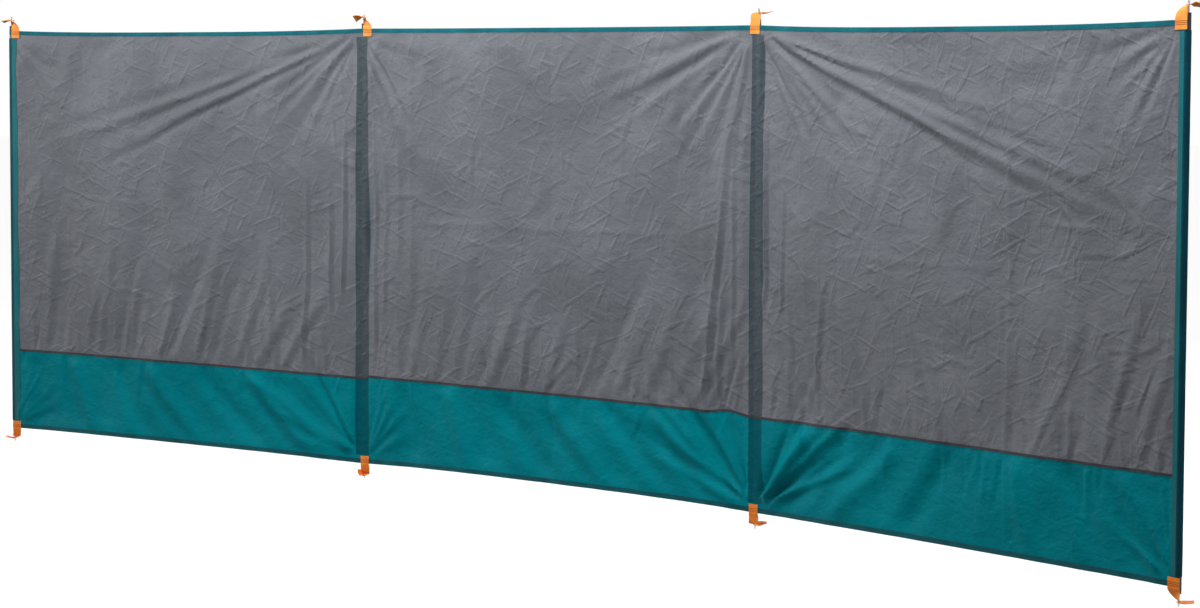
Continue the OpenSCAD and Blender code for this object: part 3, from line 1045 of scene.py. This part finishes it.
def makeTab(name, number, place, s=tabSet):
    start, width, reach, point, lead, pull, twistFrom, *ends = tabShapes[(place, number)]
    slope0, slope1, twist0, twist1 = ends
    point = math.radians(point)
    shortTurn = point if point < math.pi / 2 else point - math.pi
    mid = start + width / 2
    ahead = fabricFront + s["proud"]
    heading = np.array([-math.sin(point), -math.cos(point), 0])
    foot, pin = np.array([mid, ahead, 0.0]), np.array([0.0, 0.0, s["rise"]])
    sewnSteps, freeSteps, tailSteps = 20, 60, 40
    t = np.linspace(0, 1, freeSteps + 1)
    free = bezier(foot, foot + np.array([0, 0, lead * s["rise"]]), pin - heading * pull * s["rise"], pin, t)
    down = np.linspace(-s["sewn"], 0, sewnSteps + 1)[:-1]
    sewn = np.stack([np.full_like(down, mid), np.full_like(down, ahead), down], -1)
    tailRun = np.linspace(0, 1, tailSteps + 1)[1:]
    slopes = np.radians(slope0 + (slope1 - slope0) * tailRun ** 1.3)
    level, climb = np.cos(slopes)[:, None], np.sin(slopes)[:, None]
    stride = reach / tailSteps
    tail = pin + np.cumsum(heading * level * stride + np.array([0, 0, 1.0]) * climb * stride, 0)
    centre = np.concatenate([sewn, free, tail])
    turned = np.concatenate([np.zeros(sewnSteps), ease(t, twistFrom, 0.95), np.ones(tailSteps)]) * shortTurn
    across = np.stack([np.cos(turned), -np.sin(turned), np.zeros_like(turned)], -1)
    # even spacing along the strap
    seg = np.concatenate([[0], np.cumsum(np.linalg.norm(np.diff(centre, axis=0), axis=1))])
    pinAt = seg[sewnSteps + freeSteps]
    even = spans(0, seg[-1], s["step"])
    centre = np.stack([np.interp(even, seg, centre[:, k]) for k in range(3)], -1)
    across = np.stack([np.interp(even, seg, across[:, k]) for k in range(3)], -1)
    forward = np.gradient(centre, axis=0)
    forward /= np.linalg.norm(forward, axis=1, keepdims=True)
    # the strap shears towards the pin before it, and runs square to its own line past it
    square = ease(even, pinAt - 0.004, pinAt)[:, None]
    across -= square * forward * np.sum(across * forward, 1, keepdims=True)
    across /= np.linalg.norm(across, axis=1, keepdims=True)
    face = np.cross(across, forward)
    face /= np.linalg.norm(face, axis=1, keepdims=True)
    past = np.clip((even - pinAt) / (seg[-1] - pinAt), 0, 1)
    roll = np.radians(twist0 + (twist1 - twist0) * past) * ease(past, 0.12, 0.4)
    across, face = (across * np.cos(roll)[:, None] + face * np.sin(roll)[:, None],
                    face * np.cos(roll)[:, None] - across * np.sin(roll)[:, None])
    v = spans(-width / 2, width / 2, s["step"])
    cup = 0.0010 * np.cos(np.clip(v / width * 2, -1, 1) * math.pi / 2)
    calm = ease(even, s["sewn"], s["sewn"] + s["bend"])
    bulge = (cup[None, :] * calm[:, None])[..., None]
    grid = centre[:, None] + across[:, None] * v[None, :, None] + face[:, None] * bulge
    base, axes = tabFrame(number, place)
    world = base + grid @ axes
    faceWorld = np.repeat((face @ axes)[:, None], len(v), 1)
    # the sewn end lies on the cloth
    edgeSide = 1 if place == "top" else -1
    edge = fabricTop if place == "top" else fabricLow
    depth = np.clip(grid[..., 2], None, 0.0)
    onCloth = nearPole(number, grid[..., 0], edge + edgeSide * depth, s["proud"])
    onCloth[..., 2] += edgeSide * np.clip(grid[..., 2], 0, None)
    hold = 1 - ease(grid[..., 2], 0.0, s["bend"])[..., None]
    low = (even < s["sewn"] + s["bend"] + 0.001)[:, None, None]
    world = np.where(low, world * (1 - hold) + onCloth * hold, world)
    # room for the pin, by moving the nearest points onto the hole's rim
    e, w = np.meshgrid(even - pinAt, v, indexing="ij")
    away = np.hypot(e, w)
    inside = away < s["hole"] + s["step"] * 0.7
    scale = np.where(inside & (away > 1e-6), s["hole"] / np.maximum(away, 1e-6), 1)
    gone = away < s["hole"] - s["step"] * 0.35
    moved = inside & ~gone
    shiftE, shiftW = (np.where(moved, way * (scale - 1), 0)[..., None] for way in (e, w))
    world = world + shiftE * (forward @ axes)[:, None] + shiftW * (across @ axes)[:, None]
    uv = np.stack(np.broadcast_arrays(even[:, None], v[None, :]), -1)
    lift = faceWorld * s["halfThick"]
    return holedShell(name, world + lift, world - lift, uv, gone), base + pin @ axes


eyeletSet = {"ring": 0.0047, "inner": 0.0016, "outer": 0.0012, "halfHeight": 0.0014, "steps": 7}


def makeEyelet(name, centre, s=eyeletSet):
    # a pressed ring round the hole, on both faces of the webbing
    quarter = math.pi / 2
    angles = [(a, s["outer"]) for a in np.linspace(-quarter, quarter, s["steps"])]
    angles += [(a, s["inner"]) for a in np.linspace(quarter, 3 * quarter, s["steps"])[1:-1]]
    profile = [(s["ring"] + wide * math.cos(a), s["halfHeight"] * math.sin(a)) for a, wide in angles]
    return turnedPiece(name, centre, profile, 36, ring=True, smoothAngle=60)


for place in ("top", "bottom"):
    for number in range(poleCount):
        tab, pinPoint = makeTab(f"{place}Tab{number + 1}", number, place)
        finishPiece(tab, place + "Webbing", "webbing", f"{place}_tab_{number + 1}")
        eyelet = makeEyelet(f"{place}Eyelet{number + 1}", pinPoint)
        finishPiece(eyelet, "steel", "pin")
print("tabs made")

# ---- stitches: one row of points for each seam, and a small thread laid on every point
stitchSet = {
    "seam": {"Stitch Length": 0.0034, "Thread Width": 0.0007, "Seed": 3},
    "tab": {"Stitch Length": 0.0029, "Thread Width": 0.0010, "Seed": 8},
    "pitch": {"seam": 0.0048, "tab": 0.0032},
    "fromEdge": 0.0020,
    # how far before and behind the cloth the threads lie
    "proud": {
        "trim": (0.0012, -0.0012), "tape": (0.0013, -0.0008),
        "middleSleeve": (0.0003, -0.0011), "endSleeve": (0.0012, -0.0017),
    },
}


def makeStitchTree():
    tree = bpy.data.node_groups.new("stitchRows", "GeometryNodeTree")
    tree.interface.new_socket("Geometry", in_out="INPUT", socket_type="NodeSocketGeometry")
    inputs = {"Stitch Length": "Float", "Thread Width": "Float", "Seed": "Int", "Thread": "Material"}
    for label, kind in inputs.items():
        tree.interface.new_socket(label, in_out="INPUT", socket_type="NodeSocket" + kind)
    tree.interface.new_socket("Geometry", in_out="OUTPUT", socket_type="NodeSocketGeometry")

    def add(kind, **settings):
        node = tree.nodes.new(kind)
        for label, value in settings.items():
            setattr(node, label, value)
        return node

    def join(source, output, target, entry):
        tree.links.new(source.outputs[output], target.inputs[entry])

    given, result = add("NodeGroupInput"), add("NodeGroupOutput")
    points = add("GeometryNodeMeshToPoints")
    along, out = (add("GeometryNodeInputNamedAttribute", data_type="FLOAT_VECTOR") for _ in range(2))
    along.inputs["Name"].default_value, out.inputs["Name"].default_value = "along", "out"
    aim = add("FunctionNodeAlignRotationToVector", axis="X")
    face = add("FunctionNodeAlignRotationToVector", axis="Z", pivot_axis="X")
    thread = add("GeometryNodeMeshIcoSphere")
    thread.inputs["Radius"].default_value = 0.5
    thread.inputs["Subdivisions"].default_value = 1
    size = add("ShaderNodeCombineXYZ")
    uneven = add("FunctionNodeRandomValue", data_type="FLOAT")
    uneven.inputs[2].default_value, uneven.inputs[3].default_value = 0.88, 1.10
    scale = add("ShaderNodeVectorMath", operation="SCALE")
    last = ("InstanceOnPoints", "RealizeInstances", "SetMaterial")
    place, realize, finish = (add("GeometryNode" + kind) for kind in last)
    join(given, "Geometry", points, "Mesh")
    join(along, "Attribute", aim, "Vector")
    join(aim, "Rotation", face, "Rotation")
    join(out, "Attribute", face, "Vector")
    join(given, "Stitch Length", size, "X")
    join(given, "Thread Width", size, "Y")
    join(given, "Thread Width", size, "Z")
    join(given, "Seed", uneven, "Seed")
    join(size, "Vector", scale, 0)
    join(uneven, 1, scale, "Scale")
    join(points, "Points", place, "Points")
    join(thread, "Mesh", place, "Instance")
    join(face, "Rotation", place, "Rotation")
    join(scale, "Vector", place, "Scale")
    join(place, "Instances", realize, "Geometry")
    join(realize, "Geometry", finish, "Geometry")
    join(given, "Thread", finish, "Material")
    join(finish, "Geometry", result, "Geometry")
    return tree


stitchTree = makeStitchTree()


def sewRows(name, kind, thread, slot, rows):
    # rows: (points, outward direction) pairs, already spaced one stitch apart
    points = np.concatenate([line for line, _ in rows])
    along = np.concatenate([np.gradient(line, axis=0) for line, _ in rows])
    out = np.concatenate([np.broadcast_to(direction, line.shape) for line, direction in rows])
    mesh = bpy.data.meshes.new(name + "Points")
    mesh.from_pydata(points.tolist(), [], [])
    for label, values in (("along", along), ("out", out)):
        layer = mesh.attributes.new(label, "FLOAT_VECTOR", "POINT")
        layer.data.foreach_set("vector", np.asarray(values, np.float32).ravel())
    guide = bpy.data.objects.new(name + "Guide", mesh)
    bpy.context.scene.collection.objects.link(guide)
    sewing = guide.modifiers.new("sewing", "NODES")
    sewing.node_group = stitchTree
    entries = (item for item in stitchTree.interface.items_tree if item.in_out == "INPUT")
    sockets = {item.name: item.identifier for item in entries}
    for label, value in {**stitchSet[kind], "Thread": finishes[thread]}.items():
        sewing[sockets[label]] = value
    depsgraph = bpy.context.evaluated_depsgraph_get()
    sewn = bpy.data.meshes.new_from_object(guide.evaluated_get(depsgraph), depsgraph=depsgraph)
    bpy.data.objects.remove(guide)
    sewn.name = name
    sewn.polygons.foreach_set("use_smooth", [True] * len(sewn.polygons))
    piece = bpy.data.objects.new(name, sewn)
    bpy.context.scene.collection.objects.link(piece)
    finishPiece(piece, thread, slot)
    print("stitches:", name, len(points))


def seamRow(bayIndex, z, proud, tuck=0.014):
    # a level row along a bay, on its front for a proud above 0 and on its back for one below
    start, end = bayEnds(bayIndex, tuck)
    along = spans(start + 0.004, end - 0.004, stitchSet["pitch"]["seam"])
    direction = np.array([*bays[bayIndex]["front"], 0.0]) * np.sign(proud)
    return clothPoints(bayIndex, along, np.full_like(along, z), proud), direction


def uprightRow(bayIndex, alongAt, proud):
    # an upright row down a sleeve's edge
    z = spans(sleeveLow + 0.003, sleeveTop - 0.003, stitchSet["pitch"]["seam"])
    direction = np.array([*bays[bayIndex]["front"], 0.0]) * np.sign(proud)
    return clothPoints(bayIndex, alongAt(z), z, proud), direction


def tabRow(number, place, above):
    start, width = tabShapes[(place, number)][:2]
    x = spans(start + 0.003, start + width - 0.003, stitchSet["pitch"]["tab"])
    edge, up = (fabricTop, 1) if place == "top" else (fabricLow, -1)
    z = np.full_like(x, edge - up * (tabSet["sewn"] - above))
    _, axes = tabFrame(number, place)
    return nearPole(number, x, z, tabSet["proud"] + tabSet["halfThick"]), axes[1]


fromEdge, prouds = stitchSet["fromEdge"], stitchSet["proud"]
everyBay = range(len(bays))
for slot, z in (("binding", bindingLow + fromEdge), ("hem", hemTop - fromEdge)):
    sewRows(slot + "Stitches", "seam", "tealThread", slot,
            [seamRow(k, z, proud) for k in everyBay for proud in prouds["trim"]])
sewRows("tapeStitches", "seam", "darkThread", "seam_tape",
        [seamRow(k, z, proud, tapeEnd[k]) for k in everyBay
         for z in (tapeLow + 0.0008, tapeTop - 0.0008) for proud in prouds["tape"]])
sleeveRows = []
for number in (1, 2):
    off, wide = sleeveSet["offset"][number], bays[number - 1]["width"]
    for proud in prouds["middleSleeve"]:
        sleeveRows.append(uprightRow(number, lambda z: sleeveHalf(z) + off - fromEdge, proud))
        sleeveRows.append(uprightRow(number - 1, lambda z: wide - sleeveHalf(z) + off + fromEdge, proud))
for bayIndex, number in ((0, 0), (2, 3)):
    reach, wide = sleeveSet["endReach"][number] - fromEdge, bays[bayIndex]["width"]
    at = reach if number == 0 else wide - reach
    for proud in prouds["endSleeve"]:
        sleeveRows.append(uprightRow(bayIndex, lambda z: np.full_like(z, at), proud))
sewRows("sleeveStitches", "seam", "tealThread", "sleeve_fabric", sleeveRows)
sewRows("tabStitches", "tab", "brownThread", "webbing",
        [tabRow(number, place, above) for place in ("top", "bottom") for number in range(poleCount)
         for above in webbingSet["stitchRows"]])

# ---- floor, backdrop and light
floorSet = {
    "height": spikeTip - 0.001,
    "half": 40,
    "base": (0.24, 0.24, 0.24, 1),
    "roughness": 0.9,
    "gloss": 0.1,
    "glow": 0.93,
}


def seenBy(tree, *rays):
    # 1 for rays of these two kinds, else 0
    path, seen = tree.nodes.new("ShaderNodeLightPath"), tree.nodes.new("ShaderNodeMath")
    seen.operation = "MAXIMUM"
    for k, ray in enumerate(rays):
        tree.links.new(path.outputs[f"Is {ray} Ray"], seen.inputs[k])
    return seen.outputs[0]


def makeFloor(s=floorSet):
    half = s["half"]
    mesh = bpy.data.meshes.new("floor")
    corners = ((-half, -half), (half, -half), (half, half), (-half, half))
    mesh.from_pydata([(x, y, s["height"]) for x, y in corners], [], [(0, 1, 2, 3)])
    floor = bpy.data.objects.new("floor", mesh)
    bpy.context.scene.collection.objects.link(floor)
    material = bpy.data.materials.new("paleFloor")
    material.use_nodes = True
    tree = material.node_tree
    shader = tree.nodes["Principled BSDF"]
    shader.inputs["Base Color"].default_value = s["base"]
    shader.inputs["Roughness"].default_value = s["roughness"]
    shader.inputs["Specular IOR Level"].default_value = s["gloss"]
    glow = tree.nodes.new("ShaderNodeEmission")
    level = tree.nodes.new("ShaderNodeMath")
    level.operation = "MULTIPLY"
    level.inputs[1].default_value = s["glow"]
    tree.links.new(seenBy(tree, "Camera", "Glossy"), level.inputs[0])
    tree.links.new(level.outputs[0], glow.inputs["Strength"])
    both = tree.nodes.new("ShaderNodeAddShader")
    tree.links.new(shader.outputs[0], both.inputs[0])
    tree.links.new(glow.outputs[0], both.inputs[1])
    tree.links.new(both.outputs[0], tree.nodes["Material Output"].inputs["Surface"])
    mesh.materials.append(material)


makeFloor()
lightSet = {
    "ambient": 0.115,
    "key": {"place": (1.05, -1.05, 2.35), "aim": (0.95, 0, 0.8), "size": (5.6, 0.4), "power": 92},
    "fill": {"place": (-9.0, -6.0, 2.6), "aim": (0.8, 0, 0.8), "size": (1.6, 1.6), "power": 365},
    "side": {"place": (7.2, -1.6, 1.9), "aim": (3.0, -0.3, 0.8), "size": (1.6, 1.6), "power": 34},
    "behind": {"place": (0.5, 4.0, 3.4), "aim": (0.8, 0, 0.8), "size": (4.0, 1.2), "power": 215},
}


def makeWorld():
    world = bpy.data.worlds.new("studio")
    bpy.context.scene.world = world
    world.use_nodes = True
    tree = world.node_tree
    back = tree.nodes["Background"]
    back.inputs["Color"].default_value = (1, 1, 1, 1)
    level = tree.nodes.new("ShaderNodeMapRange")
    tree.links.new(seenBy(tree, "Camera", "Transmission"), level.inputs["Value"])
    level.inputs["To Min"].default_value = lightSet["ambient"]
    level.inputs["To Max"].default_value = 1.0
    tree.links.new(level.outputs["Result"], back.inputs["Strength"])


def makeLamp(name, s):
    data = bpy.data.lights.new(name, "AREA")
    data.shape = "RECTANGLE"
    data.size, data.size_y = s["size"]
    data.energy = s["power"]
    lamp = bpy.data.objects.new(name, data)
    bpy.context.scene.collection.objects.link(lamp)
    lamp.location = s["place"]
    lamp.rotation_euler = (Vector(s["aim"]) - Vector(s["place"])).to_track_quat("-Z", "Y").to_euler()


makeWorld()
for lampName in ("key", "fill", "side", "behind"):
    makeLamp(lampName, lightSet[lampName])
print("stage made")
